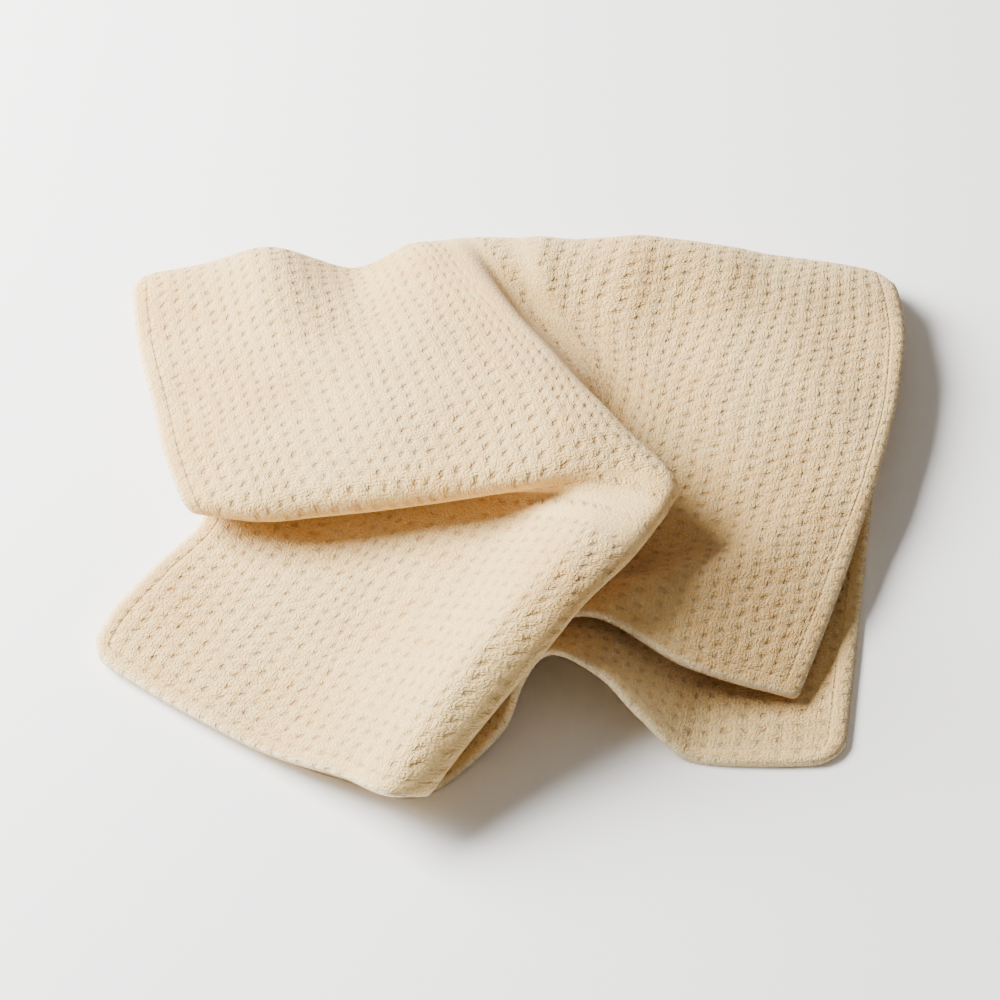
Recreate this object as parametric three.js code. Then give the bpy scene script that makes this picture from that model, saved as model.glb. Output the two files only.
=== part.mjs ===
import * as THREE from 'three';

// A bar towel: one sheet of coarse square-weave cotton, about 406 x 610 mm laid flat.
// It is folded in half at the back and dropped, so the upper layer lies in a ridge, a tuck and a flap
// that folds over towards the right, and the lower layer arches up at its front hem.
// Millimetres, X to the right, Y to the back, Z up. The lower layer rests on Z = 0.

const THICKNESS = 2.4;
const HEM_EXTRA = 1.0;
const HEM_WIDTH = 9;
const HALF = THICKNESS / 2;

// Folds of the upper layer, from the back fold to the front hem: the place down the cloth that each has
// in the net, and the mesh steps down to the next.
const FOLDS = [
  { fold: 'nose', at: 0, steps: 4 },
  { fold: 'shoulder', at: 14, steps: 4 },
  { fold: 'upper', at: 62, steps: 4 },
  { fold: 'middle', at: 108, steps: 3 },
  { fold: 'lipTop', at: 155, steps: 3 },
  { fold: 'lip', at: 182, steps: 3 },
  { fold: 'lipUnder', at: 194, steps: 4 },
  { fold: 'tuck', at: 208, steps: 4 },
  { fold: 'mouth', at: 223, steps: 4 },
  { fold: 'flap', at: 265, steps: 3 },
  { fold: 'flapLow', at: 300, steps: 3 },
  { fold: 'hem', at: 335, steps: 0 },
];
// How the upper layer starts, round the back fold from the lower layer.
const BACK_STARTS = [{ at: -30, down: 0.06 }, { at: -14, down: 0 }];
const BACK_STEPS = 4;

// Sections through the upper layer, left to right. across is the place on the cloth's width in the net,
// back the share of the width at the back fold, steps the mesh steps to the next section. Each fold
// column holds the X, Y and Z of the cloth's middle where that section crosses that fold.
const SECTIONS = [
  {
    line: 'left edge', across: 0, back: 0, steps: 6,
    nose: [-169, 293, 7], shoulder: [-167, 285, 13], upper: [-160, 240, 16], middle: [-151, 200, 21],
    lipTop: [-140, 152, 27], lip: [-130, 132, 22], lipUnder: [-126, 142, 14], tuck: [-126, 158, 10],
    mouth: [-125, 144, 6.5], flap: [-145, 112, 6], flapLow: [-159, 90, 6], hem: [-169, 65, 6],
  },
  {
    line: 'under the hump', across: 0.16, back: 0.13, steps: 5,
    nose: [-120, 300, 11], shoulder: [-119, 286, 21], upper: [-112, 238, 25], middle: [-105, 196, 29],
    lipTop: [-97, 148, 35], lip: [-88, 122, 29], lipUnder: [-88, 132, 19], tuck: [-90, 152, 15],
    mouth: [-93, 134, 10], flap: [-106, 90, 7], flapLow: [-116, 58, 6], hem: [-124, 30, 6],
  },
  {
    line: 'notch', across: 0.3, back: 0.27, steps: 3,
    nose: [-66, 300, 10], shoulder: [-65, 288, 19], upper: [-57, 238, 33], middle: [-50, 196, 42],
    lipTop: [-40, 148, 46], lip: [-30, 122, 39], lipUnder: [-32, 131, 29], tuck: [-38, 149, 23],
    mouth: [-44, 130, 18], flap: [-60, 80, 12], flapLow: [-72, 38, 10], hem: [-82, 1, 11],
  },
  {
    line: 'foot of the ridge', across: 0.37, back: 0.32, steps: 3,
    nose: [-50, 301, 13], shoulder: [-49, 289, 25], upper: [-32, 238, 40], middle: [-14, 193, 48],
    lipTop: [4, 149, 52], lip: [12, 122, 48], lipUnder: [13, 125, 41.5], tuck: [10, 130, 35],
    mouth: [4, 120, 29.5], flap: [-16, 72, 29], flapLow: [-40, 27, 24], hem: [-61, -12, 17],
  },
  {
    line: 'ridge top', across: 0.43, back: 0.37, steps: 3,
    nose: [-37, 302, 17], shoulder: [-36, 289, 33], upper: [-10, 237, 44], middle: [16, 190, 51],
    lipTop: [36, 150, 55], lip: [47, 127, 52], lipUnder: [47, 118, 48], tuck: [45, 108, 48],
    mouth: [39, 88, 54], flap: [17, 56, 54], flapLow: [-14, 17, 41], hem: [-41, -28, 24],
  },
  {
    line: 'outside of the roll', across: 0.47, back: 0.42, steps: 3,
    nose: [-24, 303, 18], shoulder: [-22, 289, 35], upper: [2, 238, 44], middle: [30, 190, 49],
    lipTop: [52, 152, 51], lip: [74, 123, 47], lipUnder: [70, 108, 48], tuck: [63, 94, 49],
    mouth: [54, 78, 50], flap: [31, 47, 48], flapLow: [-1, 10, 33], hem: [-27, -21, 17],
  },
  {
    line: 'under the roll', across: 0.51, back: 0.46, steps: 5,
    nose: [-12, 303, 18], shoulder: [-10, 289, 35], upper: [10, 246, 31], middle: [33, 203, 33],
    lipTop: [48, 166, 34], lip: [60, 128, 36], lipUnder: [58, 114, 37], tuck: [53, 101, 38],
    mouth: [44, 86, 42], flap: [20, 56, 41], flapLow: [-13, 19, 26], hem: [-39, -6, 10],
  },
  {
    line: 'hidden turn', across: 0.62, back: 0.54, steps: 7,
    nose: [20, 303, 18], shoulder: [20, 289, 35], upper: [29, 250, 28], middle: [46, 212, 24],
    lipTop: [44, 170, 23], lip: [30, 130, 27], lipUnder: [26, 115, 28], tuck: [24, 101, 31],
    mouth: [18, 88, 36], flap: [3, 62, 35], flapLow: [-8, 40, 25], hem: [-14, 19, 15],
  },
  {
    line: 'right panel, left side', across: 0.76, back: 0.74, steps: 5,
    nose: [86, 303, 17], shoulder: [85, 289, 33], upper: [79, 244, 27], middle: [72, 206, 24],
    lipTop: [62, 166, 21], lip: [52, 128, 19], tuck: [48, 102, 23], mouth: [45, 89, 28],
    flap: [42, 79, 32], flapLow: [37, 68, 35], hem: [32, 58, 36],
  },
  {
    line: 'right panel, middle', across: 0.88, back: 0.87, steps: 6,
    nose: [136, 301, 11], shoulder: [135, 288, 22], upper: [133, 246, 24], middle: [128, 206, 25],
    lipTop: [119, 168, 23], lip: [112, 144, 21], tuck: [102, 117, 22], flap: [91, 84, 23], hem: [78, 44, 20],
  },
  {
    line: 'right edge', across: 1, back: 1, steps: 0,
    nose: [183, 297, 7], shoulder: [182, 288, 14], upper: [183, 256, 16], middle: [180, 228, 18],
    lipTop: [175, 200, 18], lipUnder: [164, 158, 17], mouth: [150, 113, 14],
    flap: [140, 84, 11], hem: [123, 39, 6],
  },
];

// Front hem of the lower layer, left to right, by its place on the cloth's width.
const LOW_HEM = [
  { across: 0, x: -163, y: 76, z: HALF },
  { across: 0.13, x: -125, y: 42, z: HALF },
  { across: 0.26, x: -87, y: 12, z: HALF },
  { across: 0.36, x: -58, y: -1, z: HALF },
  { across: 0.45, x: -28, y: -8, z: HALF },
  { across: 0.5, x: -10, y: 6, z: 4 },
  { across: 0.55, x: 3, y: 18, z: 12 },
  { across: 0.6, x: 9, y: 31, z: 23 },
  { across: 0.67, x: 22, y: 41, z: 31 },
  { across: 0.74, x: 42, y: 32, z: 27 },
  { across: 0.8, x: 58, y: 21, z: 16 },
  { across: 0.86, x: 77, y: 10, z: 2 },
  { across: 0.93, x: 106, y: 7, z: HALF },
  { across: 1, x: 140, y: 8, z: HALF },
];

// Left edge of the lower layer, front to back, drawn in beneath the tuck.
const LOW_EDGE = [
  { y: 76, x: -162 },
  { y: 100, x: -146 },
  { y: 125, x: -127 },
  { y: 145, x: -119 },
  { y: 165, x: -128 },
  { y: 200, x: -142 },
  { y: 240, x: -152 },
  { y: 284, x: -164 },
];
const LOW_BACK_INSET = 3;
// The share of the width over which the left edge is drawn in, and how fast that dies away.
const LOW_EDGE_REACH = 0.34;
const LOW_EDGE_FALL = 1.3;
// The share of the lower layer's length over which its hem's arch rises, and how much of it is steady.
const ARCH_REACH = 0.8;
const ARCH_STEADY = 0.65;
const LOW_ROWS = [0.05, 0.12, 0.22, 0.32, 0.42, 0.52, 0.6, 0.67, 0.74, 0.8, 0.86, 0.91, 0.96, 1];

// The place down the cloth where the folds that come from the back start to rise.
const FOLDS_START = -7;
// Soft ridges and troughs of the upper layer: an axis in plan, the half width, the height, the share of
// the height that is gone at the axis's far end, and the sections and folds between which it lies.
const SOFT_FOLDS = [
  {
    name: 'hump', x: -104, y: 300, toX: -88, toY: 215, width: 19,
    height: 9, fade: 0.75, left: -1, right: 0.32, up: FOLDS_START, down: 131,
  },
  {
    name: 'notch', x: -66, y: 300, toX: -52, toY: 225, width: 14,
    height: -4, fade: 0.75, left: 0.1, right: 0.42, up: FOLDS_START, down: 108,
  },
  {
    name: 'flute 1', x: 22, y: 300, toX: 10, toY: 215, width: 9,
    height: 1.8, fade: 0.75, left: 0.56, right: 2, up: FOLDS_START, down: 155,
  },
  {
    name: 'flute 2', x: 66, y: 300, toX: 50, toY: 215, width: 10,
    height: 1.8, fade: 0.75, left: 0.62, right: 2, up: FOLDS_START, down: 155,
  },
  {
    name: 'flute 3', x: 110, y: 300, toX: 96, toY: 215, width: 11,
    height: 1.5, fade: 0.75, left: 0.62, right: 2, up: FOLDS_START, down: 155,
  },
  {
    name: 'dent', x: 58, y: 98, toX: 112, toY: 130, width: 12,
    height: -5, fade: 0.6, left: 0.62, right: 2, up: 108, down: 325,
  },
  {
    name: 'crest', x: 60, y: 78, toX: 112, toY: 108, width: 11,
    height: 3.5, fade: 0.6, left: 0.62, right: 2, up: 182, down: 345,
  },
];
const FOLD_EDGE_ACROSS = 0.06;
const FOLD_EDGE_UP = 15;
const FOLD_EDGE_DOWN = 55;

// Rounding of the sheet's four corners, by the hem they end.
const CORNER_RADIUS = { upperLeft: 11, upperRight: 2.5, lowerLeft: 10, lowerRight: 13 };
// How many mesh steps in from a corner the cloth's two directions are taken.
const CORNER_STEPS = 3;

const clamp = (value, low, high) => Math.min(Math.max(value, low), high);

function smooth(value) {
  const share = clamp(value, 0, 1);
  return share * share * (3 - 2 * share);
}

// The share of its pace that a rounded curve keeps in a full turn back.
const TURN_PACE = 0.8;

// A cubic curve through points at uneven stations, each slope taken from the neighbours on both sides.
// A rounded curve halves each turn evenly and keeps its pace in it, so that a tight fold stays round.
function cubic(stations, points, at, rounded = false) {
  const last = stations.length - 1;
  const gap = (i) => stations[i + 1] - stations[i];
  const chord = (i) => points[i].map((start, k) => (points[i + 1][k] - start) / gap(i));
  const slope = (i) => {
    if (i === 0) return chord(0);
    if (i === last) return chord(last - 1);
    const before = chord(i - 1);
    const after = chord(i);
    if (!rounded) {
      return before.map((value, k) => (value * gap(i) + after[k] * gap(i - 1)) / (gap(i - 1) + gap(i)));
    }
    const into = Math.hypot(...before);
    const out = Math.hypot(...after);
    const middle = before.map((value, k) => value / into + after[k] / out);
    const turn = Math.hypot(...middle);
    const pace = Math.min(into, out) * (TURN_PACE + (1 - TURN_PACE) * (turn / 2));
    return middle.map((value) => (value / turn) * pace);
  };
  let i = 0;
  while (i < last - 1 && at >= stations[i + 1]) i += 1;
  const x = (at - stations[i]) / gap(i);
  const x2 = x * x;
  const x3 = x2 * x;
  const leaving = slope(i);
  const arriving = slope(i + 1);
  return points[i].map((start, k) => (
    (2 * x3 - 3 * x2 + 1) * start
    + (x3 - 2 * x2 + x) * gap(i) * leaving[k]
    + (3 * x2 - 2 * x3) * points[i + 1][k]
    + (x3 - x2) * gap(i) * arriving[k]
  ));
}

// Even steps between stations, each station once.
function stepped(stations, steps) {
  const out = [];
  for (let i = 0; i < stations.length - 1; i += 1) {
    for (let n = 0; n < steps[i]; n += 1) {
      out.push(stations[i] + ((stations[i + 1] - stations[i]) * n) / steps[i]);
    }
  }
  out.push(stations[stations.length - 1]);
  return out;
}

const ACROSS = SECTIONS.map((section) => section.across);
const BACK = SECTIONS.map((section) => section.back);

// The lower layer: straight lines from the back fold to the front hem, the left edge drawn in, and the
// arch of the hem dying away towards the back.
function lowerPoint(width, down) {
  const shoulders = SECTIONS.map(({ shoulder }) => [shoulder[0], shoulder[1] - LOW_BACK_INSET]);
  const back = cubic(BACK, shoulders, width);
  const hem = cubic(LOW_HEM.map((h) => h.across), LOW_HEM.map((h) => [h.x, h.y, h.z]), width);
  const corner = shoulders[0];
  const edgeX = corner[0] + (LOW_HEM[0].x - corner[0]) * down;
  const edgeY = corner[1] + (LOW_HEM[0].y - corner[1]) * down;
  const edgeYs = LOW_EDGE.map((e) => e.y);
  const drawnAt = clamp(edgeY, edgeYs[0], edgeYs[edgeYs.length - 1]);
  const drawn = cubic(edgeYs, LOW_EDGE.map((e) => [e.x]), drawnAt)[0];
  const shift = (drawn - edgeX) * clamp(1 - width / LOW_EDGE_REACH, 0, 1) ** LOW_EDGE_FALL;
  const near = clamp(1 - (1 - down) / ARCH_REACH, 0, 1);
  const rise = ARCH_STEADY * near * near + (1 - ARCH_STEADY) * smooth(near);
  return [
    back[0] + (hem[0] - back[0]) * down + shift,
    back[1] + (hem[1] - back[1]) * down,
    HALF + Math.max(hem[2] - HALF, 0) * rise,
  ];
}

// One section's curve, from just inside the lower layer, round the back fold and over the upper layer.
function sectionCurve(section) {
  const used = FOLDS.filter(({ fold }) => section[fold]);
  return {
    stations: [...BACK_STARTS, ...used].map(({ at }) => at),
    points: [
      ...BACK_STARTS.map(({ down }) => lowerPoint(section.back, down)),
      ...used.map(({ fold }) => section[fold]),
    ],
  };
}
const CURVES = SECTIONS.map(sectionCurve);

function softFold(point, across, down) {
  return SOFT_FOLDS.reduce((lift, soft) => {
    const axis = [soft.toX - soft.x, soft.toY - soft.y];
    const from = [point[0] - soft.x, point[1] - soft.y];
    const near = clamp((from[0] * axis[0] + from[1] * axis[1]) / (axis[0] ** 2 + axis[1] ** 2), 0, 1);
    const off = Math.hypot(from[0] - near * axis[0], from[1] - near * axis[1]);
    const inside = smooth((across - soft.left) / FOLD_EDGE_ACROSS)
      * smooth((soft.right - across) / FOLD_EDGE_ACROSS)
      * smooth((down - soft.up) / FOLD_EDGE_UP)
      * smooth((soft.down - down) / FOLD_EDGE_DOWN);
    const left = 1 - soft.fade * smooth(near);
    return lift + soft.height * Math.exp(-((off / soft.width) ** 2)) * inside * left;
  }, 0);
}

function upperPoint(across, down) {
  const crossing = CURVES.map((curve) => cubic(curve.stations, curve.points, down, true));
  const point = cubic(ACROSS, crossing, across, true);
  point[2] = Math.max(point[2] + softFold(point, across, down), HALF);
  return point;
}

// The middle surface of the sheet as rows of points, from the upper hem round the back to the lower hem.
function middleSurface() {
  const columns = stepped(ACROSS, SECTIONS.map((section) => section.steps));
  const stations = [BACK_STARTS[1].at, ...FOLDS.map(({ at }) => at)];
  const upper = stepped(stations, [BACK_STEPS, ...FOLDS.map((row) => row.steps)]).reverse();
  const widths = columns.map((across) => cubic(ACROSS, BACK.map((value) => [value]), across)[0]);
  const rows = upper.map((down) => columns.map((across) => upperPoint(across, down)));
  LOW_ROWS.forEach((down) => rows.push(widths.map((width) => lowerPoint(width, down))));
  return rows.map((row) => row.map((point) => new THREE.Vector3(...point)));
}

// Running length along a line of points.
function runningLength(points) {
  let sum = 0;
  return points.map((point, i) => {
    if (i > 0) sum += point.distanceTo(points[i - 1]);
    return sum;
  });
}

// Draws the points near one corner onto a round of the given radius.
function roundCorner(rows, lastRow, lastColumn, radius) {
  const height = rows.length - 1;
  const width = rows[0].length - 1;
  const cornerRow = lastRow ? height : 0;
  const cornerColumn = lastColumn ? width : 0;
  const intoRows = lastRow ? -CORNER_STEPS : CORNER_STEPS;
  const intoColumns = lastColumn ? -CORNER_STEPS : CORNER_STEPS;
  const alongEdge = runningLength(rows.map((row) => row[cornerColumn]));
  const alongHem = runningLength(rows[cornerRow]);
  const moved = [];
  rows.forEach((row, i) => row.forEach((point, j) => {
    const fromHem = Math.abs(alongEdge[i] - alongEdge[cornerRow]);
    const fromEdge = Math.abs(alongHem[j] - alongHem[cornerColumn]);
    const a = radius - fromHem;
    const b = radius - fromEdge;
    if (a <= 0 || b <= 0) return;
    const shrink = 1 - Math.max(a, b) / Math.hypot(a, b);
    const inward = rows[cornerRow + intoRows][j].clone().sub(rows[cornerRow][j]).normalize();
    const sideways = row[cornerColumn + intoColumns].clone().sub(row[cornerColumn]).normalize();
    const drawn = point.clone().addScaledVector(inward, a * shrink).addScaledVector(sideways, b * shrink);
    moved.push({ i, j, drawn });
  }));
  moved.forEach(({ i, j, drawn }) => { rows[i][j] = drawn; });
}

function surfaceNormal(rows, i, j) {
  const below = rows[Math.min(i + 1, rows.length - 1)][j];
  const above = rows[Math.max(i - 1, 0)][j];
  const right = rows[i][Math.min(j + 1, rows[i].length - 1)];
  const left = rows[i][Math.max(j - 1, 0)];
  return below.clone().sub(above).cross(right.clone().sub(left)).normalize().negate();
}

// Two skins half a thickness from the middle, the inner one thicker along the hems, joined by a rim.
function towelGeometry() {
  const rows = middleSurface();
  roundCorner(rows, false, false, CORNER_RADIUS.upperLeft);
  roundCorner(rows, false, true, CORNER_RADIUS.upperRight);
  roundCorner(rows, true, false, CORNER_RADIUS.lowerLeft);
  roundCorner(rows, true, true, CORNER_RADIUS.lowerRight);
  const height = rows.length;
  const width = rows[0].length;
  const edgeLength = rows[0].map((_, j) => runningLength(rows.map((row) => row[j])));
  const hemLength = rows.map(runningLength);

  const outer = [];
  const inner = [];
  rows.forEach((row, i) => row.forEach((point, j) => {
    const normal = surfaceNormal(rows, i, j);
    const fromEdge = Math.min(
      edgeLength[j][i],
      edgeLength[j][height - 1] - edgeLength[j][i],
      hemLength[i][j],
      hemLength[i][width - 1] - hemLength[i][j],
    );
    const extra = HEM_EXTRA * smooth((HEM_WIDTH - fromEdge) / (HEM_WIDTH / 3));
    const face = point.clone().addScaledVector(normal, HALF);
    const back = point.clone().addScaledVector(normal, -HALF - extra);
    face.z = Math.max(face.z, 0);
    outer.push(face);
    inner.push(back);
  }));

  const skin = height * width;
  const faces = [];
  const quad = (a, b, c, d) => faces.push(a, b, c, a, c, d);
  for (let i = 0; i < height - 1; i += 1) {
    for (let j = 0; j < width - 1; j += 1) {
      const at = i * width + j;
      quad(at, at + 1, at + width + 1, at + width);
      quad(skin + at, skin + at + width, skin + at + width + 1, skin + at + 1);
    }
  }
  const rim = [];
  for (let j = 0; j < width - 1; j += 1) rim.push(j);
  for (let i = 0; i < height - 1; i += 1) rim.push(i * width + width - 1);
  for (let j = width - 1; j > 0; j -= 1) rim.push((height - 1) * width + j);
  for (let i = height - 1; i > 0; i -= 1) rim.push(i * width);
  rim.forEach((at, n) => {
    const next = rim[(n + 1) % rim.length];
    quad(at, skin + at, skin + next, next);
  });

  const geometry = new THREE.BufferGeometry();
  const positions = [...outer, ...inner].flatMap((point) => point.toArray());
  geometry.setAttribute('position', new THREE.Float32BufferAttribute(positions, 3));
  geometry.setIndex(faces);
  geometry.computeBoundingBox();
  const centre = geometry.boundingBox.getCenter(new THREE.Vector3());
  geometry.translate(-centre.x, -centre.y, -geometry.boundingBox.min.z);
  geometry.computeVertexNormals();
  return geometry;
}

const cotton = new THREE.MeshStandardMaterial({ color: 0xe6d8bd, roughness: 0.95, metalness: 0 });
const towel = new THREE.Mesh(towelGeometry(), cotton);
towel.name = 'towel';

const object = new THREE.Group();
object.add(towel);

export default object;
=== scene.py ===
import math

import bpy
import numpy as np
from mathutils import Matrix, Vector


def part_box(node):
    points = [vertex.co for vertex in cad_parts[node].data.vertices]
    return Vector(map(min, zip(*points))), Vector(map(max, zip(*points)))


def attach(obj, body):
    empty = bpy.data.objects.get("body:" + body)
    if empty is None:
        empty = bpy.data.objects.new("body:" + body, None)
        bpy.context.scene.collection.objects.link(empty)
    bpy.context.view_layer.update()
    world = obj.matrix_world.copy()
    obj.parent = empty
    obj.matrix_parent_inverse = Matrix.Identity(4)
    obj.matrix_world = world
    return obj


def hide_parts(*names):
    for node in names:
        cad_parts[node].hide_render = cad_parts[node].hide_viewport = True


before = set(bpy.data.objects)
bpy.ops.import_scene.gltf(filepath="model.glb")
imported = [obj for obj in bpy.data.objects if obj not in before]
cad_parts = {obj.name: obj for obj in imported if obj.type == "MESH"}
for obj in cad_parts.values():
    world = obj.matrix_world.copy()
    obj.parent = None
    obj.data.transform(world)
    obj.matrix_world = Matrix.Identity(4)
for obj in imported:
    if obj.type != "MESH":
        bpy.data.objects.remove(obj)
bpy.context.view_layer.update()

# The towel: one sheet of coarse square-weave cotton, folded in half at the back and dropped.
# The tables are in millimetres, as in the part's source: X right, Y back, Z up.
FLAT_WIDTH = 406
FLAT_LENGTH = 610
THICKNESS = 2.4
HALF = THICKNESS / 2
HEM_WIDTH = 9
CELL = 7.1
CELLS_ACROSS = FLAT_WIDTH / CELL
CELLS_DOWN = FLAT_LENGTH / 2 / CELL

# The two skins: how much the hem stands out on each, over what slope, and how much thinner the rim is.
HEM_FACE = 0.15
HEM_BACK = 0.9
HEM_SLOPE = 2.5
RIM_THINNER = 0.25
RIM_REACH = 1.6

# How much finer than the part's own mesh the cloth is made, across and down.
FINER_ACROSS = 3.2
FINER_DOWN = 3.9

# A rounded curve's pace in a sharp turn, as a share of its pace on a straight.
TURN_PACE = 0.8

# Folds of the upper layer, from the back fold to the front hem: the place down the cloth that each has
# in the net, and the mesh steps down to the next.
FOLDS = (
    dict(fold="nose", at=0, steps=4),
    dict(fold="shoulder", at=14, steps=4),
    dict(fold="upper", at=62, steps=4),
    dict(fold="middle", at=108, steps=3),
    dict(fold="lipTop", at=155, steps=3),
    dict(fold="lip", at=182, steps=3),
    dict(fold="lipUnder", at=194, steps=4),
    dict(fold="tuck", at=208, steps=4),
    dict(fold="mouth", at=223, steps=4),
    dict(fold="flap", at=265, steps=3),
    dict(fold="flapLow", at=300, steps=3),
    dict(fold="hem", at=335, steps=0),
)

# Sections through the upper layer, left to right. across is the place on the cloth's width in the net,
# back the share of the width at the back fold, steps the mesh steps to the next section. Each fold
# column holds the X, Y and Z of the cloth's middle where that section crosses that fold.
SECTIONS = (
    dict(
        line="left edge", across=0, back=0, steps=6,
        nose=(-169, 293, 7), shoulder=(-167, 285, 13), upper=(-160, 240, 16), middle=(-151, 200, 21),
        lipTop=(-140, 152, 27), lip=(-130, 132, 22), lipUnder=(-126, 142, 14), tuck=(-126, 158, 10),
        mouth=(-125, 144, 6.5), flap=(-145, 112, 6), flapLow=(-159, 90, 6), hem=(-169, 65, 6),
    ),
    dict(
        line="under the hump", across=0.16, back=0.13, steps=5,
        nose=(-120, 300, 11), shoulder=(-119, 286, 21), upper=(-112, 238, 25), middle=(-105, 196, 29),
        lipTop=(-97, 148, 35), lip=(-88, 122, 29), lipUnder=(-88, 132, 19), tuck=(-90, 152, 15),
        mouth=(-93, 134, 10), flap=(-106, 90, 7), flapLow=(-116, 58, 6), hem=(-124, 30, 6),
    ),
    dict(
        line="notch", across=0.3, back=0.27, steps=3,
        nose=(-66, 300, 10), shoulder=(-65, 288, 19), upper=(-57, 238, 33), middle=(-50, 196, 42),
        lipTop=(-40, 148, 46), lip=(-30, 122, 39), lipUnder=(-32, 131, 29), tuck=(-38, 149, 23),
        mouth=(-44, 130, 18), flap=(-60, 80, 12), flapLow=(-72, 38, 10), hem=(-82, 1, 11),
    ),
    dict(
        line="foot of the ridge", across=0.37, back=0.32, steps=3,
        nose=(-50, 301, 13), shoulder=(-49, 289, 25), upper=(-32, 238, 40), middle=(-14, 193, 48),
        lipTop=(4, 149, 52), lip=(12, 122, 48), lipUnder=(13, 125, 41.5), tuck=(10, 130, 35),
        mouth=(4, 120, 29.5), flap=(-16, 72, 29), flapLow=(-40, 27, 24), hem=(-61, -12, 17),
    ),
    dict(
        line="ridge top", across=0.43, back=0.37, steps=3,
        nose=(-37, 302, 17), shoulder=(-36, 289, 33), upper=(-10, 237, 44), middle=(16, 190, 51),
        lipTop=(36, 150, 55), lip=(47, 127, 52), lipUnder=(47, 118, 48), tuck=(45, 108, 48),
        mouth=(39, 88, 54), flap=(17, 56, 54), flapLow=(-14, 17, 41), hem=(-41, -28, 24),
    ),
    dict(
        line="outside of the roll", across=0.47, back=0.42, steps=3,
        nose=(-24, 303, 18), shoulder=(-22, 289, 35), upper=(2, 238, 44), middle=(30, 190, 49),
        lipTop=(52, 152, 51), lip=(74, 123, 47), lipUnder=(70, 108, 48), tuck=(63, 94, 49),
        mouth=(54, 78, 50), flap=(31, 47, 48), flapLow=(-1, 10, 33), hem=(-27, -21, 17),
    ),
    dict(
        line="under the roll", across=0.51, back=0.46, steps=5,
        nose=(-12, 303, 18), shoulder=(-10, 289, 35), upper=(10, 246, 31), middle=(33, 203, 33),
        lipTop=(48, 166, 34), lip=(60, 128, 36), lipUnder=(58, 114, 37), tuck=(53, 101, 38),
        mouth=(44, 86, 42), flap=(20, 56, 41), flapLow=(-13, 19, 26), hem=(-39, -6, 10),
    ),
    dict(
        line="hidden turn", across=0.62, back=0.54, steps=7,
        nose=(20, 303, 18), shoulder=(20, 289, 35), upper=(29, 250, 28), middle=(46, 212, 24),
        lipTop=(44, 170, 23), lip=(30, 130, 27), lipUnder=(26, 115, 28), tuck=(24, 101, 31),
        mouth=(18, 88, 36), flap=(3, 62, 35), flapLow=(-8, 40, 25), hem=(-14, 19, 15),
    ),
    dict(
        line="right panel, left side", across=0.76, back=0.74, steps=5,
        nose=(86, 303, 17), shoulder=(85, 289, 33), upper=(79, 244, 27), middle=(72, 206, 24),
        lipTop=(62, 166, 21), lip=(52, 128, 19), tuck=(48, 102, 23), mouth=(45, 89, 28),
        flap=(42, 79, 32), flapLow=(37, 68, 35), hem=(32, 58, 36),
    ),
    dict(
        line="right panel, middle", across=0.88, back=0.87, steps=6,
        nose=(136, 301, 11), shoulder=(135, 288, 22), upper=(133, 246, 24), middle=(128, 206, 25),
        lipTop=(119, 168, 23), lip=(112, 144, 21), tuck=(102, 117, 22), flap=(91, 84, 23),
        hem=(78, 44, 20),
    ),
    dict(
        line="right edge", across=1, back=1, steps=0,
        nose=(183, 297, 7), shoulder=(182, 288, 14), upper=(183, 256, 16), middle=(180, 228, 18),
        lipTop=(175, 200, 18), lipUnder=(164, 158, 17), mouth=(150, 113, 14), flap=(140, 84, 11),
        hem=(123, 39, 6),
    ),
)

# Front hem of the lower layer, left to right, by its place on the cloth's width.
LOW_HEM = (
    dict(across=0, x=-163, y=76, z=HALF),
    dict(across=0.13, x=-125, y=42, z=HALF),
    dict(across=0.26, x=-87, y=12, z=HALF),
    dict(across=0.36, x=-58, y=-1, z=HALF),
    dict(across=0.45, x=-28, y=-8, z=HALF),
    dict(across=0.5, x=-10, y=6, z=4),
    dict(across=0.55, x=3, y=18, z=12),
    dict(across=0.6, x=9, y=31, z=23),
    dict(across=0.67, x=22, y=41, z=31),
    dict(across=0.74, x=42, y=32, z=27),
    dict(across=0.8, x=58, y=21, z=16),
    dict(across=0.86, x=77, y=10, z=2),
    dict(across=0.93, x=106, y=7, z=HALF),
    dict(across=1, x=140, y=8, z=HALF),
)

# Left edge of the lower layer, front to back, drawn in beneath the tuck.
LOW_EDGE = (
    dict(y=76, x=-162),
    dict(y=100, x=-146),
    dict(y=125, x=-127),
    dict(y=145, x=-119),
    dict(y=165, x=-128),
    dict(y=200, x=-142),
    dict(y=240, x=-152),
    dict(y=284, x=-164),
)

# Soft ridges and troughs of the upper layer: an axis in plan, the half width, the height, the share of
# the height that is gone at the axis's far end, and the sections and folds between which it lies.
FOLDS_START = -7
SOFT_FOLDS = (
    dict(name="hump", x=-104, y=300, to_x=-88, to_y=215, width=19, height=9, fade=0.75,
         left=-1, right=0.32, up=FOLDS_START, down=131),
    dict(name="notch", x=-66, y=300, to_x=-52, to_y=225, width=14, height=-4, fade=0.75,
         left=0.1, right=0.42, up=FOLDS_START, down=108),
    dict(name="flute 1", x=22, y=300, to_x=10, to_y=215, width=9, height=1.8, fade=0.75,
         left=0.56, right=2, up=FOLDS_START, down=155),
    dict(name="flute 2", x=66, y=300, to_x=50, to_y=215, width=10, height=1.8, fade=0.75,
         left=0.62, right=2, up=FOLDS_START, down=155),
    dict(name="flute 3", x=110, y=300, to_x=96, to_y=215, width=11, height=1.5, fade=0.75,
         left=0.62, right=2, up=FOLDS_START, down=155),
    dict(name="dent", x=58, y=98, to_x=112, to_y=130, width=12, height=-5, fade=0.6,
         left=0.62, right=2, up=108, down=325),
    dict(name="crest", x=60, y=78, to_x=112, to_y=108, width=11, height=3.5, fade=0.6,
         left=0.62, right=2, up=182, down=345),
)
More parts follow.
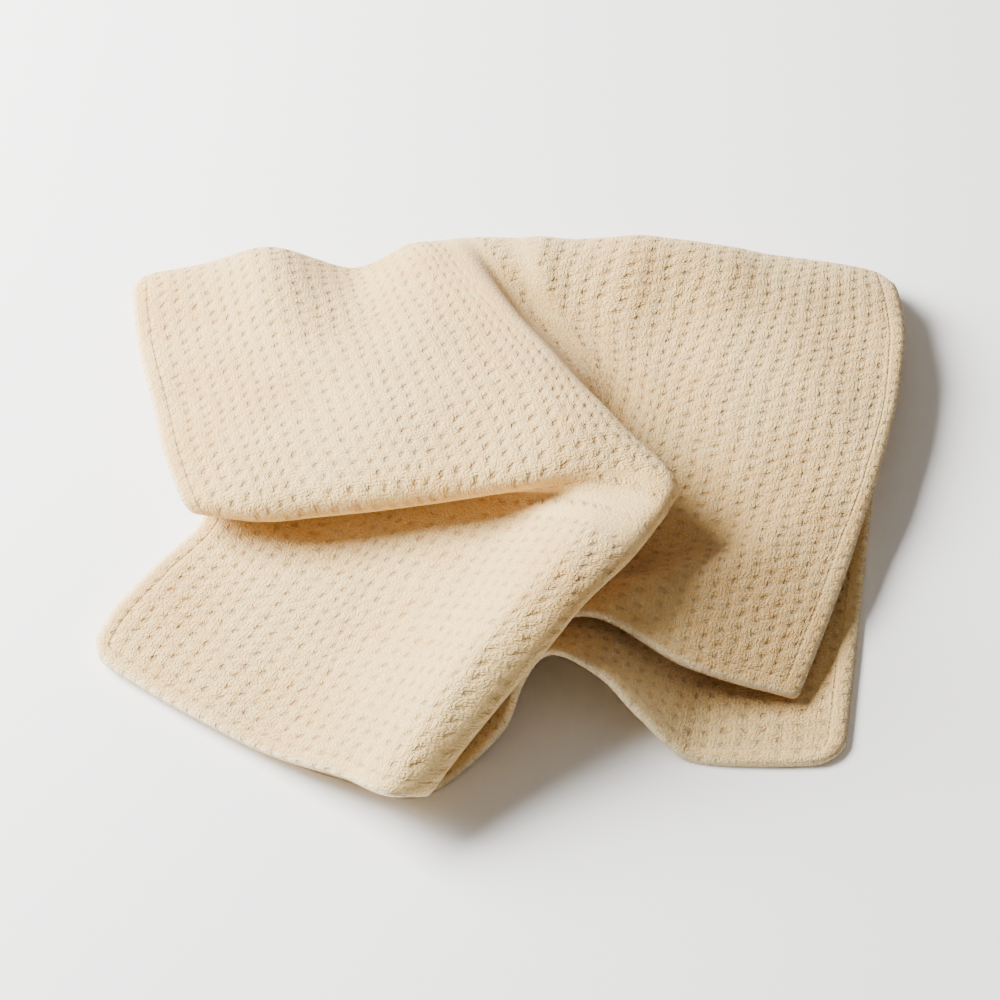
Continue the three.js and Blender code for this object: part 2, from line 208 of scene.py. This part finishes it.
FOLD_EDGE_ACROSS = 0.06
FOLD_EDGE_UP = 15
FOLD_EDGE_DOWN = 55

# The lower layer: its inset at the back fold, how far in the drawn left edge and the front hem's arch
# reach, and its rows, by their share of the way from the back fold to the front hem.
LOW_BACK_INSET = 3
LOW_EDGE_REACH = 0.34
LOW_EDGE_FALL = 1.3
ARCH_REACH = 0.8
ARCH_STEADY = 0.65
LOW_ROWS = (0.05, 0.12, 0.22, 0.32, 0.42, 0.52, 0.6, 0.67, 0.74, 0.8, 0.86, 0.91, 0.96, 1)
BACK_STARTS = (dict(at=-30, down=0.06), dict(at=-14, down=0))
BACK_STEPS = 4

# The sheet's rounded corners, and the back fold's ends, drawn in where the side edges turn round them.
CORNER_RADIUS = dict(upper_left=11, upper_right=2.5, lower_left=10, lower_right=13)
FOLD_END_RADIUS = 14
FOLD_END_SHIFT = 4
FOLD_END_DROP = 6

# Cells of the weave counted from the left edge, where each section crosses five of the folds. On the
# lower layer they become even over this share of the way to the front hem.
EVEN_FROM = 0.5
COUNTED = ("nose", "middle", "lip", "mouth", "hem")
THREADS = (
    dict(across=0, nose=0, middle=0, lip=0, mouth=0, hem=0),
    dict(across=0.16, nose=7.4, middle=6.6, lip=6, mouth=5, hem=8.2),
    dict(across=0.3, nose=15.4, middle=14.8, lip=14.3, mouth=11.2, hem=15.4),
    dict(across=0.37, nose=18.2, middle=19.7, lip=20.7, mouth=18.2, hem=19),
    dict(across=0.43, nose=21.1, middle=23.7, lip=25.5, mouth=25.3, hem=22.6),
    dict(across=0.47, nose=25, middle=27.4, lip=29.5, mouth=27.9, hem=24.2),
    dict(across=0.51, nose=29.2, middle=37.6, lip=33, mouth=30, hem=27),
    dict(across=0.62, nose=33.5, middle=39.2, lip=40.3, mouth=39.5, hem=36),
    dict(across=0.76, nose=42.3, middle=43.5, lip=43.3, mouth=43.6, hem=42.9),
    dict(across=0.88, nose=49, middle=51, lip=50.8, mouth=50.3, hem=49.5),
    dict(across=1, nose=57.2, middle=57.2, lip=57.2, mouth=57.2, hem=57.2),
)

# The right panel: where it starts on the cloth's width, and how its rows of cells lie: askew from the
# back fold by this many cells a millimetre to the right of PANEL_X, and this much closer than elsewhere.
PANEL_START = 0.47
PANEL_BLEND = 0.04
PANEL_X = -12
PANEL_SKEW = 0.043
PANEL_CLOSER = 0.07

# Where the net draws the cells out or squeezes them past these shares of their size, the weave fades
# over the spans that follow. The last value keeps a cell of no area from dividing by nothing.
LEAST_CLOSE = 0.3
LEAST_SPAN = 0.35
MOST_CLOSE = 2.6
MOST_SPAN = 0.9
NO_AREA = 1e-6

# Small uneven waves of the limp cloth: cells per wave across and down, height and phase. They come in
# over this height above the table.
RIPPLE_FREE = 4
RIPPLES = (
    dict(across=9.5, down=31, height=0.32, phase=0.4),
    dict(across=-14, down=12.5, height=0.26, phase=2.1),
    dict(across=23, down=7.3, height=0.22, phase=4.4),
    dict(across=6.2, down=-17, height=0.16, phase=1.2),
)

# The weave's relief, in shares of BUMP_DEPTH (metres). Cells wander by WANDER cells. CORDS, LINES and
# SLANTS weigh the waves across, down and slantwise that leave one pit a cell.
WANDER = 0.7
WANDER_SCALE = 0.45
CORDS = 0.41
LINES = 0.32
SLANTS = 0.27
UNEVEN = 1.6
UNEVEN_SCALE = 1.6
PIT_FROM = 0.3
PIT_FULL = 1.1
SWELL_DEPTH = -0.38
PIT_DEPTH = -0.7
YARNS_A_CELL = 4
YARN_DEPTH = 0.2
FRAY = 0.5
FRAY_SCALE = 5
BLOCK_EDGE = 0.25
FUZZ_DEPTH = 0.9
FUZZ_SCALE = 900
BUMP_DEPTH = 0.0009
BUMP_STRENGTH = 0.9

# The hem's band and stitches, in millimetres from the edge, and the share of the relief that it loses.
BAND_OUT = 0.5
BAND_IN = -1.5
BAND_LOSS = -0.45
STITCH_INSET = 1.8
STITCH_OUT = 0.9
STITCH_IN = 0.2
STITCHES_A_CELL = 2.4
STITCH_DEPTH = -0.6
RIM_OUT = 0.6
RIM_IN = 2.6
EDGE_UNIT = 10

# Colours of undyed cotton, as linear values, and how strongly each shows. The darkest brown is painted
# shade for the hollows of the weave, and the pale rim colour is partly a painted highlight on the hem's
# edge.
CREAM = (0.79, 0.555, 0.222, 1)
WARM_CREAM = (0.75, 0.465, 0.155, 1)
PALE_CREAM = (0.85, 0.64, 0.305, 1)
# Paler rim of the hem: partly the pale fuzz of the edge, mostly a painted highlight where the rolled
# edge catches light.
RIM_FUZZ_AND_HIGHLIGHT = (0.9, 0.76, 0.47, 1)
FLECK = (0.3, 0.2, 0.1, 1)
# Painted shade: the brown that darkens the weave's pits, the gaps between yarns, the sunken fuzz and the
# sunk stitches.
HOLLOW_SHADE = (0.35, 0.165, 0.05, 1)
PATCH_SCALE = 14
MOTTLE_SCALE = 0.9
MOTTLE_SHOWN = 0.35
FLECK_SHOWN = 0.2
PIT_SHADE_SHOWN = 0.42
RIM_FUZZ_AND_HIGHLIGHT_SHOWN = 0.6
YARN_SHADE_SHOWN = 0.12
FUZZ_SHADE_SHOWN = 0.25
STITCH_SHADE_SHOWN = 0.12

# The camera looks along +Y from 45 degrees up; the photo is 426 mm wide at the towel.
CAMERA_ELEVATION = 45
CAMERA_DISTANCE = 1.5
SENSOR_WIDTH = 36
VIEW_WIDTH = 1 / 2.35
TARGET = Vector((-0.007, 0.0014, 0.02))

# A plain pale floor and soft light from the left, in metres and watts.
FLOOR_HALF = 3
FLOOR_COLOR = (0.93, 0.93, 0.93, 1)
FLOOR_ROUGHNESS = 0.9
WORLD_LIGHT = 0.3
WORLD_COLOR = (1, 0.9, 0.79, 1)
LAMPS = (
    dict(name="key", at=(-1.15, 0.42, 0.8), size=1.0, watts=158, color=(1, 0.99, 0.97)),
)


def smooth(value):
    share = np.clip(value, 0, 1)
    return share * share * (3 - 2 * share)


def cubic(stations, points, at, rounded=False):
    """A cubic curve through points at uneven stations, each slope taken from the points on both sides.

    A rounded curve halves each turn evenly and keeps its pace in it, so that a tight fold stays round.
    """
    stations = np.asarray(stations, float)
    points = np.asarray(points, float)
    at = np.asarray(at, float)
    spread = (-1,) + (1,) * (points.ndim - 1)
    gap = np.diff(stations).reshape(spread)
    chord = np.diff(points, axis=0) / gap
    inner = (chord[:-1] * gap[1:] + chord[1:] * gap[:-1]) / (gap[:-1] + gap[1:])
    slope = np.concatenate([chord[:1], inner, chord[-1:]])
    if rounded:
        length = np.linalg.norm(chord, axis=-1, keepdims=True)
        middle = chord[:-1] / length[:-1] + chord[1:] / length[1:]
        turn = np.linalg.norm(middle, axis=-1, keepdims=True)
        pace = TURN_PACE + (1 - TURN_PACE) / 2 * turn
        slope[1:-1] = middle / turn * np.minimum(length[:-1], length[1:]) * pace
    i = np.clip(np.searchsorted(stations, at, side="right") - 1, 0, len(stations) - 2)
    step = gap[i]
    x = (at - stations[i]).reshape(spread) / step
    return (
        (2 * x**3 - 3 * x**2 + 1) * points[i]
        + (x**3 - 2 * x**2 + x) * step * slope[i]
        + (3 * x**2 - 2 * x**3) * points[i + 1]
        + (x**3 - x**2) * step * slope[i + 1]
    )


def column(rows, *names):
    return [[row[name] for name in names] for row in rows]


ACROSS = [section["across"] for section in SECTIONS]
BACK = [section["back"] for section in SECTIONS]


def lower_layer(widths, downs):
    """The lower layer: straight lines from the back fold to the front hem, whose arch dies away."""
    corner_x, corner_y = SECTIONS[0]["shoulder"][:2]
    corner_y -= LOW_BACK_INSET
    shoulders = [[s["shoulder"][0], s["shoulder"][1] - LOW_BACK_INSET] for s in SECTIONS]
    back = cubic(BACK, shoulders, widths)
    hem = cubic([h["across"] for h in LOW_HEM], column(LOW_HEM, "x", "y", "z"), widths)
    down = np.asarray(downs, float)[:, None]
    edge_x = corner_x + (LOW_HEM[0]["x"] - corner_x) * down[:, 0]
    edge_y = corner_y + (LOW_HEM[0]["y"] - corner_y) * down[:, 0]
    edge_ys = [e["y"] for e in LOW_EDGE]
    drawn = cubic(edge_ys, column(LOW_EDGE, "x"), np.clip(edge_y, edge_ys[0], edge_ys[-1]))[:, 0]
    shift = (drawn - edge_x)[:, None] * np.clip(1 - widths / LOW_EDGE_REACH, 0, 1) ** LOW_EDGE_FALL
    near = np.clip(1 - (1 - down) / ARCH_REACH, 0, 1)
    rise = ARCH_STEADY * near * near + (1 - ARCH_STEADY) * smooth(near)
    x = back[:, 0] + (hem[:, 0] - back[:, 0]) * down + shift
    y = back[:, 1] + (hem[:, 1] - back[:, 1]) * down
    z = HALF + np.maximum(hem[:, 2] - HALF, 0) * rise
    return np.stack([x, y, z], axis=-1)


def soft_fold_lift(points, across, down):
    """The height that the soft ridges and troughs add to a net of points."""
    lift = np.zeros(points.shape[:2])
    for soft in SOFT_FOLDS:
        axis_x = soft["to_x"] - soft["x"]
        axis_y = soft["to_y"] - soft["y"]
        from_x = points[:, :, 0] - soft["x"]
        from_y = points[:, :, 1] - soft["y"]
        near = np.clip((from_x * axis_x + from_y * axis_y) / (axis_x**2 + axis_y**2), 0, 1)
        off = np.hypot(from_x - near * axis_x, from_y - near * axis_y)
        inside = smooth((across - soft["left"]) / FOLD_EDGE_ACROSS)
        inside = inside * smooth((soft["right"] - across) / FOLD_EDGE_ACROSS)
        inside = inside * smooth((down - soft["up"]) / FOLD_EDGE_UP)
        inside = inside * smooth((soft["down"] - down) / FOLD_EDGE_DOWN)
        ridge = soft["height"] * np.exp(-((off / soft["width"]) ** 2))
        lift += ridge * inside * (1 - soft["fade"] * smooth(near))
    return lift


def upper_layer(across, down):
    """The upper layer: a curve down each section, then curves across, and the soft folds on top."""
    starts = lower_layer(np.array(BACK), [start["down"] for start in BACK_STARTS])
    curves = []
    for number, section in enumerate(SECTIONS):
        used = [fold for fold in FOLDS if fold["fold"] in section]
        stations = [start["at"] for start in BACK_STARTS] + [fold["at"] for fold in used]
        points = [starts[0, number], starts[1, number]] + [section[fold["fold"]] for fold in used]
        curves.append(cubic(stations, points, down, rounded=True))
    points = cubic(ACROSS, curves, across, rounded=True).swapaxes(0, 1).copy()
    lift = soft_fold_lift(points, across[None, :], down[:, None])
    points[:, :, 2] = np.maximum(points[:, :, 2] + lift, HALF)
    return points


def stepped(stations, steps, finer):
    """Even steps between stations, each station once."""
    out = []
    for start, end, count in zip(stations[:-1], stations[1:], steps):
        out.extend(np.linspace(start, end, round(count * finer) + 1)[:-1])
    return np.array(out + [stations[-1]])


def running(points, axis):
    """Running length along one direction of a net of points."""
    length = np.linalg.norm(np.diff(points, axis=axis), axis=-1)
    start = np.zeros((1, points.shape[1]) if axis == 0 else (points.shape[0], 1))
    return np.concatenate([start, np.cumsum(length, axis=axis)], axis=axis)


def unit(vectors):
    return vectors / np.linalg.norm(vectors, axis=-1, keepdims=True)


def round_corner(points, last_row, last_column, radius):
    """Draws the points near one corner onto a round of the given radius."""
    net = points[::-1] if last_row else points
    net = net[:, ::-1] if last_column else net
    from_hem = running(net, 0)[:, 0]
    from_edge = running(net, 1)[0]
    rows = np.nonzero(from_hem < radius)[0]
    columns = np.nonzero(from_edge < radius)[0]
    into = 2 + max(len(rows), len(columns))
    source = net.copy()
    for i in rows:
        for j in columns:
            a = radius - from_hem[i]
            b = radius - from_edge[j]
            shrink = 1 - max(a, b) / math.hypot(a, b)
            inward = unit(source[into, j] - source[0, j])
            sideways = unit(source[i, into] - source[i, 0])
            net[i, j] = source[i, j] + inward * a * shrink + sideways * b * shrink


def round_fold_end(points, last_column):
    """Draws the back fold's end in, where the folded side edges turn round it."""
    net = points[:, ::-1] if last_column else points
    from_edge = running(net, 1)
    length = running(net, 0)
    fold = np.argmax(net[:, :, 1], axis=0)
    from_fold = length - length[fold, np.arange(net.shape[1])]
    near = np.clip(1 - from_edge / FOLD_END_RADIUS, 0, 1) ** 2
    near = near * np.exp(-((from_fold / FOLD_END_RADIUS) ** 2))
    net[:, :, 0] += near * FOLD_END_SHIFT * (-1 if last_column else 1)
    net[:, :, 1] -= near * FOLD_END_DROP


def cloth_middle():
    """The middle surface of the sheet, from hem to hem, and its cells of the weave across and down."""
    across = stepped(ACROSS, [section["steps"] for section in SECTIONS[:-1]], FINER_ACROSS)
    stations = [BACK_STARTS[1]["at"]] + [fold["at"] for fold in FOLDS]
    steps = [BACK_STEPS] + [fold["steps"] for fold in FOLDS[:-1]]
    down = stepped(stations, steps, FINER_DOWN)[::-1]
    low_rows = stepped((0,) + LOW_ROWS, [1] * len(LOW_ROWS), FINER_DOWN)[1:]
    widths = cubic(ACROSS, column(SECTIONS, "back"), across)[:, 0]
    points = np.concatenate([upper_layer(across, down), lower_layer(widths, low_rows)])

    # Cells across: from the counts on the folds, and even across the front of the lower layer.
    fold_at = {fold["fold"]: fold["at"] for fold in FOLDS}
    counts = cubic(ACROSS, column(THREADS, *COUNTED), across)
    stations = [fold_at[fold] for fold in COUNTED]
    upper_across = np.stack([np.interp(down, stations, row) for row in counts], axis=1)
    forward = smooth(low_rows / EVEN_FROM)[:, None]
    lower_across = counts[:, 0] * (1 - forward) + widths * CELLS_ACROSS * forward
    cells_across = np.concatenate([upper_across, lower_across])

    # Cells down: counted from the back fold, askew on the right panel, and from the hem on the flap.
    length = running(points, 0)
    nose = len(down) - 1 - int(np.argmin(np.abs(down[::-1])))
    right_share = smooth((across - PANEL_START) / PANEL_BLEND)
    flap_share = smooth((down - fold_at["lip"]) / (fold_at["mouth"] - fold_at["lip"]))[:, None]
    flap_share = flap_share * (1 - right_share)
    skew = PANEL_SKEW * (points[nose, :, 0] - PANEL_X) * right_share
    from_back = (length[nose] - length[: len(down)]) / CELL
    from_back = from_back * (1 + PANEL_CLOSER * right_share) - skew
    from_hem = CELLS_DOWN - length[: len(down)] / CELL
    upper_down = from_back * (1 - flap_share) + from_hem * flap_share
    lower_down = upper_down[-1] - (length[len(down):] - length[len(down) - 1]) / CELL
    cells_down = np.concatenate([upper_down, lower_down])
    return points, cells_across, cells_down


def evenness(points, cells_across, cells_down):
    """How evenly the cells of the weave lie, from 0, drawn out or squeezed, to 1."""
    along = [np.gradient(points, axis=axis) for axis in (0, 1)]
    size = np.stack([np.stack([(a * b).sum(axis=-1) for b in along], axis=-1) for a in along], axis=-2)
    changes = [np.gradient(count, axis=(0, 1)) for count in (cells_across, cells_down)]
    change = np.stack([np.stack(pair, axis=-1) for pair in changes], axis=-2)
    square = change @ np.linalg.inv(size + NO_AREA * np.eye(2)) @ change.swapaxes(-1, -2)
    least, most = np.moveaxis(np.sqrt(np.maximum(np.linalg.eigvalsh(square), 0)) * CELL, -1, 0)
    return smooth((least - LEAST_CLOSE) / LEAST_SPAN) * smooth((MOST_CLOSE - most) / MOST_SPAN)


def add_uv(mesh, name, corner, first, second):
    """A UV layer with two values for each corner of each face."""
    values = np.stack([first.ravel()[corner], second.ravel()[corner]], axis=-1)
    mesh.uv_layers.new(name=name).data.foreach_set("uv", values.ravel())


def cloth_object():
    """The towel's mesh, with its weave's cells, distances from the edges and evenness as UV layers."""
    points, cells_across, cells_down = cloth_middle()
    round_corner(points, False, False, CORNER_RADIUS["upper_left"])
    round_corner(points, False, True, CORNER_RADIUS["upper_right"])
    round_corner(points, True, False, CORNER_RADIUS["lower_left"])
    round_corner(points, True, True, CORNER_RADIUS["lower_right"])
    round_fold_end(points, False)
    round_fold_end(points, True)
    length_down = running(points, 0)
    length_across = running(points, 1)
    side = np.minimum(length_across, length_across[:, -1:] - length_across)
    end = np.minimum(length_down, length_down[-1] - length_down)
    from_edge = np.minimum(side, end)

    # Two skins half a thickness from the middle, the inner one thicker along the hems, joined by a rim.
    normal = -unit(np.cross(np.gradient(points, axis=0), np.gradient(points, axis=1)))
    ripple = np.zeros(from_edge.shape)
    for wave in RIPPLES:
        turns = cells_across / wave["across"] + cells_down / wave["down"]
        ripple += wave["height"] * np.sin(2 * np.pi * turns + wave["phase"])
    loose = smooth((points[:, :, 2] - HALF) / RIPPLE_FREE)
    hem = smooth((HEM_WIDTH - from_edge) / HEM_SLOPE)
    moved = points + normal * (ripple * loose)[:, :, None]
    edge_round = 1 - RIM_THINNER * smooth((RIM_REACH - from_edge) / RIM_REACH)
    face = moved + normal * (HALF * edge_round + HEM_FACE * hem)[:, :, None]
    back = moved - normal * (HALF * edge_round + HEM_BACK * hem * edge_round)[:, :, None]
    face[:, :, 2] = np.maximum(face[:, :, 2], 0)
    vertices = np.concatenate([face.reshape(-1, 3), back.reshape(-1, 3)])
    low, high = vertices.min(axis=0), vertices.max(axis=0)
    box_low, box_high = (np.array(corner) * 1000 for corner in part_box("towel"))
    vertices[:, :2] += ((box_low + box_high - low - high) / 2)[:2]
    vertices[:, 2] -= low[2]

    rows, columns = points.shape[:2]
    skin = rows * columns
    index = np.arange(skin).reshape(rows, columns)
    quads = np.stack([index[:-1, :-1], index[:-1, 1:], index[1:, 1:], index[1:, :-1]], axis=-1)
    quads = quads.reshape(-1, 4)
    rim = np.concatenate([index[0, :], index[1:, -1], index[-1, -2::-1], index[-2:0:-1, 0]])
    after = np.roll(rim, -1)
    rim_quads = np.stack([rim, rim + skin, after + skin, after], axis=-1)
    faces = np.concatenate([quads, quads[:, ::-1] + skin, rim_quads])

    mesh = bpy.data.meshes.new("towel_cloth")
    mesh.from_pydata((vertices / 1000).tolist(), [], faces.tolist())
    mesh.polygons.foreach_set("use_smooth", [True] * len(faces))
    corner = faces.ravel() % skin
    even = evenness(points, cells_across, cells_down)
    add_uv(mesh, "weave", corner, cells_across, cells_down)
    add_uv(mesh, "edges", corner, side / EDGE_UNIT, end / EDGE_UNIT)
    add_uv(mesh, "evenness", corner, even, even)
    mesh.update()
    cloth = bpy.data.objects.new("towel_cloth", mesh)
    bpy.context.collection.objects.link(cloth)
    return cloth


class Nodes:
    """Short names for the nodes of one material."""

    def __init__(self, material):
        material.use_nodes = True
        self.tree = material.node_tree
        self.shader = self.tree.nodes["Principled BSDF"]

    def make(self, kind, inputs=(), **settings):
        node = self.tree.nodes.new(kind)
        for name, value in settings.items():
            setattr(node, name, value)
        for socket, value in dict(inputs).items():
            if isinstance(value, bpy.types.NodeSocket):
                self.tree.links.new(value, node.inputs[socket])
            else:
                node.inputs[socket].default_value = value
        return node

    def math(self, operation, first, second=0.0, third=0.0):
        inputs = {0: first, 1: second, 2: third}
        return self.make("ShaderNodeMath", inputs, operation=operation).outputs[0]

    def wave(self, value, turns=1, operation="COSINE"):
        angle = self.math("MULTIPLY", value, 2 * math.pi * turns)
        return self.math(operation, angle)

    def around_zero(self, value):
        return self.math("SUBTRACT", value, 0.5)

    def between(self, value, low, high, to_low=0.0, to_high=1.0):
        inputs = {"Value": value, "From Min": low, "From Max": high, "To Min": to_low, "To Max": to_high}
        return self.make("ShaderNodeMapRange", inputs, interpolation_type="SMOOTHSTEP").outputs["Result"]

    def mix(self, share, first, second):
        # In a mix of colours, these three sockets are the share and the two colours.
        node = self.make("ShaderNodeMix", data_type="RGBA")
        sockets = (node.inputs[0], node.inputs[6], node.inputs[7])
        for socket, value in zip(sockets, (share, first, second)):
            if isinstance(value, bpy.types.NodeSocket):
                self.tree.links.new(value, socket)
            else:
                socket.default_value = value
        return node.outputs[2]

    def noise(self, vector, scale, detail=2.0, output="Fac"):
        inputs = {"Vector": vector, "Scale": scale, "Detail": detail}
        return self.make("ShaderNodeTexNoise", inputs).outputs[output]

    def vector(self, operation, inputs):
        return self.make("ShaderNodeVectorMath", inputs, operation=operation).outputs[0]

    def layer(self, name):
        return self.make("ShaderNodeUVMap", uv_map=name).outputs["UV"]

    def parts(self, vector):
        split = self.make("ShaderNodeSeparateXYZ", {0: vector})
        return split.outputs["X"], split.outputs["Y"]

    def surface(self, **values):
        for name, value in values.items():
            self.shader.inputs[name.replace("_", " ")].default_value = value


def cotton_material():
    material = bpy.data.materials.new("natural_cotton")
    n = Nodes(material)
    place = n.make("ShaderNodeTexCoord").outputs["Object"]
    even = n.parts(n.layer("evenness"))[0]

    # The yarns wander a little, so the cells are uneven.
    weave = n.layer("weave")
    wander = n.noise(weave, WANDER_SCALE, output="Color")
    wander = n.vector("SUBTRACT", {0: wander, 1: (0.5, 0.5, 0.5)})
    wander = n.vector("SCALE", {0: wander, "Scale": WANDER})
    cells = n.vector("ADD", {0: weave, 1: wander})
    across, down = n.parts(cells)
    along = n.math("ADD", across, down)

    # One small pit a cell, uneven from cell to cell, between soft cords.
    lattice = n.math("MULTIPLY", n.wave(along), SLANTS)
    lattice = n.math("MULTIPLY_ADD", n.wave(down), LINES, lattice)
    lattice = n.math("MULTIPLY_ADD", n.wave(across), CORDS, lattice)
    uneven = n.around_zero(n.noise(cells, UNEVEN_SCALE, 3.0))
    lattice = n.math("MULTIPLY_ADD", uneven, UNEVEN, lattice)
    pit = n.between(lattice, PIT_FROM, PIT_FULL)
    swell = n.math("MULTIPLY_ADD", lattice, SWELL_DEPTH, n.math("MULTIPLY", pit, PIT_DEPTH))

    # The yarns run across in one half of the blocks and down in the other.
    checks = n.math("MULTIPLY", n.wave(across, operation="SINE"), n.wave(down, operation="SINE"))
    block = n.between(checks, -BLOCK_EDGE, BLOCK_EDGE)
    frayed = n.math("MULTIPLY", n.around_zero(n.noise(cells, FRAY_SCALE)), FRAY)
    yarns_across = n.wave(n.math("ADD", across, frayed), YARNS_A_CELL)
    yarns_down = n.wave(n.math("ADD", down, frayed), YARNS_A_CELL)
    yarns = n.math("SUBTRACT", yarns_across, yarns_down)
    yarns = n.math("MULTIPLY_ADD", yarns, block, yarns_down)
    relief = n.math("MULTIPLY", n.math("MULTIPLY_ADD", yarns, YARN_DEPTH, swell), even)

    # The hems: a folded band, closer and smoother, with a sunk line of stitches.
    side, end = (n.math("MULTIPLY", part, EDGE_UNIT) for part in n.parts(n.layer("edges")))
    from_edge = n.math("MINIMUM", side, end)
    band = n.between(from_edge, HEM_WIDTH + BAND_OUT, HEM_WIDTH + BAND_IN)
    line = n.math("ABSOLUTE", n.math("SUBTRACT", from_edge, HEM_WIDTH - STITCH_INSET))
    dashes = n.between(n.wave(along, STITCHES_A_CELL), -0.5, 0.3)
    dashes = n.math("MULTIPLY_ADD", dashes, 0.5, 0.5)
    stitches = n.math("MULTIPLY", n.between(line, STITCH_OUT, STITCH_IN), dashes)

    fuzz = n.noise(place, FUZZ_SCALE, 3.0)
    depth = n.math("MULTIPLY", relief, n.math("MULTIPLY_ADD", band, BAND_LOSS, 1.0))
    depth = n.math("MULTIPLY_ADD", stitches, STITCH_DEPTH, depth)
    depth = n.math("MULTIPLY_ADD", n.around_zero(fuzz), FUZZ_DEPTH, depth)
    bump = n.make("ShaderNodeBump", dict(Strength=BUMP_STRENGTH, Distance=BUMP_DEPTH, Height=depth))

    # Undyed cotton: cream, with soft uneven patches and a few seed flecks. Painted shade darkens the
    # pits, the gaps between yarns, the sunken fuzz and the sunk stitches, and a painted highlight pales
    # the hem's rim.
    base = n.mix(n.between(n.noise(place, PATCH_SCALE, 3.0), 0.35, 0.68), CREAM, WARM_CREAM)
    mottled = n.mix(n.between(n.noise(cells, MOTTLE_SCALE), 0.35, 0.7), base, PALE_CREAM)
    base = n.mix(MOTTLE_SHOWN, base, mottled)
    flecks = n.between(n.noise(place, FUZZ_SCALE, 1.0), 0.74, 0.8)
    base = n.mix(n.math("MULTIPLY", flecks, FLECK_SHOWN), base, FLECK)
    # Painted shade in the weave's pits.
    painted_pit_shade = n.math("MULTIPLY", n.math("MULTIPLY", pit, even), PIT_SHADE_SHOWN)
    base = n.mix(painted_pit_shade, base, HOLLOW_SHADE)
    # Painted highlight on the hem's rim, where the rolled edge catches light, with some paler edge fuzz.
    base = n.mix(n.between(from_edge, RIM_IN, RIM_OUT, 0.0, RIM_FUZZ_AND_HIGHLIGHT_SHOWN), base, RIM_FUZZ_AND_HIGHLIGHT)
    # Painted shade in the gaps between yarns, where the relief sinks.
    shade_between_yarns = n.between(yarns, 0.2, -0.9, 0.0, YARN_SHADE_SHOWN)
    base = n.mix(n.math("MULTIPLY", shade_between_yarns, even), base, HOLLOW_SHADE)
    # Painted shade where the fine fuzz sinks.
    base = n.mix(n.between(fuzz, 0.62, 0.3, 0.0, FUZZ_SHADE_SHOWN), base, HOLLOW_SHADE)
    # Painted shade in the sunk line of stitches.
    base = n.mix(n.math("MULTIPLY", stitches, STITCH_SHADE_SHOWN), base, HOLLOW_SHADE)
    n.tree.links.new(base, n.shader.inputs["Base Color"])
    n.tree.links.new(bump.outputs["Normal"], n.shader.inputs["Normal"])
    n.surface(Roughness=0.93, Sheen_Weight=0.22, Sheen_Roughness=0.55, Specular_IOR_Level=0.15)
    n.surface(Subsurface_Weight=0.1, Subsurface_Radius=(1.0, 0.6, 0.35), Subsurface_Scale=0.002)
    return material


def studio(target):
    """A plain pale floor, a pale world and one large soft lamp."""
    signs = ((-1, -1), (1, -1), (1, 1), (-1, 1))
    floor_mesh = bpy.data.meshes.new("floor")
    floor_mesh.from_pydata([(FLOOR_HALF * x, FLOOR_HALF * y, 0) for x, y in signs], [], [(0, 1, 2, 3)])
    floor = bpy.data.objects.new("floor", floor_mesh)
    bpy.context.collection.objects.link(floor)
    paper = bpy.data.materials.new("floor")
    Nodes(paper).surface(Base_Color=FLOOR_COLOR, Roughness=FLOOR_ROUGHNESS)
    floor_mesh.materials.append(paper)

    world = bpy.data.worlds.new("studio")
    world.use_nodes = True
    background = world.node_tree.nodes["Background"]
    background.inputs["Color"].default_value = WORLD_COLOR
    background.inputs["Strength"].default_value = WORLD_LIGHT
    bpy.context.scene.world = world

    for lamp in LAMPS:
        light = bpy.data.lights.new(lamp["name"], "AREA")
        light.size = lamp["size"]
        light.energy = lamp["watts"]
        light.color = lamp["color"]
        holder = bpy.data.objects.new(lamp["name"], light)
        holder.location = lamp["at"]
        holder.rotation_euler = (target - Vector(lamp["at"])).to_track_quat("-Z", "Y").to_euler()
        bpy.context.collection.objects.link(holder)


def photo_camera(target):
    """The camera at the photo's angle, whose view at the target is VIEW_WIDTH wide."""
    elevation = math.radians(CAMERA_ELEVATION)
    away = Vector((0, -math.cos(elevation), math.sin(elevation)))
    camera = bpy.data.cameras.new("camera")
    camera.sensor_width = SENSOR_WIDTH
    camera.lens = SENSOR_WIDTH * CAMERA_DISTANCE / VIEW_WIDTH
    holder = bpy.data.objects.new("camera", camera)
    holder.location = target + away * CAMERA_DISTANCE
    holder.rotation_euler = (-away).to_track_quat("-Z", "Y").to_euler()
    bpy.context.collection.objects.link(holder)
    bpy.context.scene.camera = holder


towel = cloth_object()
towel.data.materials.append(cotton_material())
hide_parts("towel")
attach(towel, "root")

studio(TARGET)
photo_camera(TARGET)
